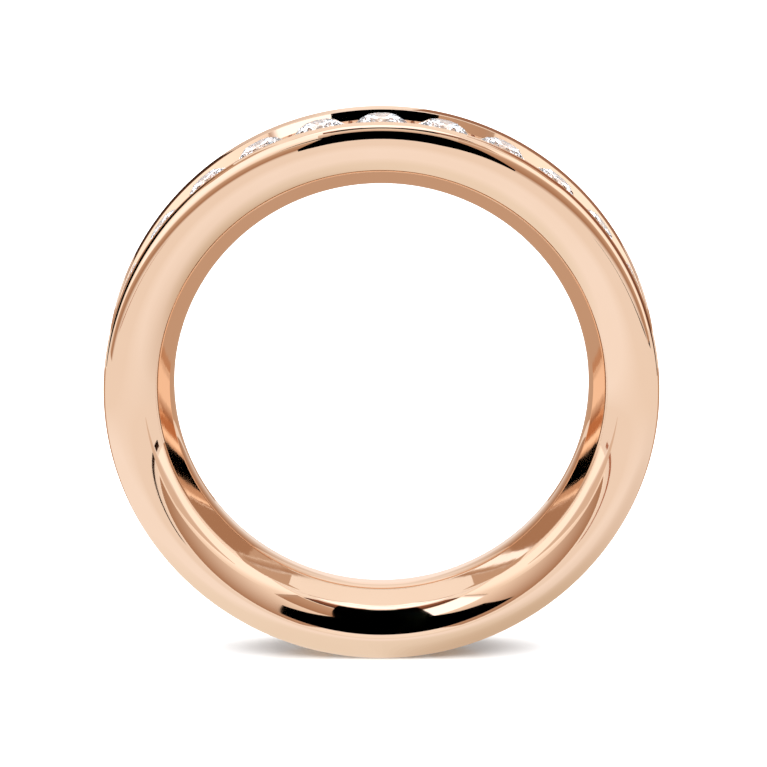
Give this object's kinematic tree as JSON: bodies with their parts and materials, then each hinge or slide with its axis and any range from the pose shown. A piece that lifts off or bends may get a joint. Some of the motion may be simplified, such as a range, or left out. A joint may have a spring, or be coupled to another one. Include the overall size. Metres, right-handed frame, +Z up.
{
  "type": "wedding band",
  "caption": "Polished rose-gold ring with a comfort-fit finger hole and a channel of round brilliant stones set just below raised rails all the way round.",
  "frame": {"origin": "middle of the finger hole, on the finger axis", "axes": "+Y along the finger axis, +Z up through the middle of the first stone, with the ring standing upright"},
  "size_m": [0.0226, 0.0036, 0.0226],
  "materials": {
    "rose_gold": "high polish",
    "diamond": "faceted, clear"
  },
  "bodies": {
    "root": {"band": "rose_gold", "diamond_01": "diamond", "diamond_02": "diamond", "diamond_03": "diamond", "diamond_04": "diamond", "diamond_05": "diamond", "diamond_06": "diamond", "diamond_07": "diamond", "diamond_08": "diamond", "diamond_09": "diamond", "diamond_10": "diamond", "diamond_11": "diamond", "diamond_12": "diamond", "diamond_13": "diamond", "diamond_14": "diamond", "diamond_15": "diamond", "diamond_16": "diamond", "diamond_17": "diamond", "diamond_18": "diamond", "diamond_19": "diamond", "diamond_20": "diamond", "diamond_21": "diamond", "diamond_22": "diamond", "diamond_23": "diamond", "diamond_24": "diamond", "diamond_25": "diamond", "diamond_26": "diamond", "diamond_27": "diamond"}
  },
  "joints": []
}
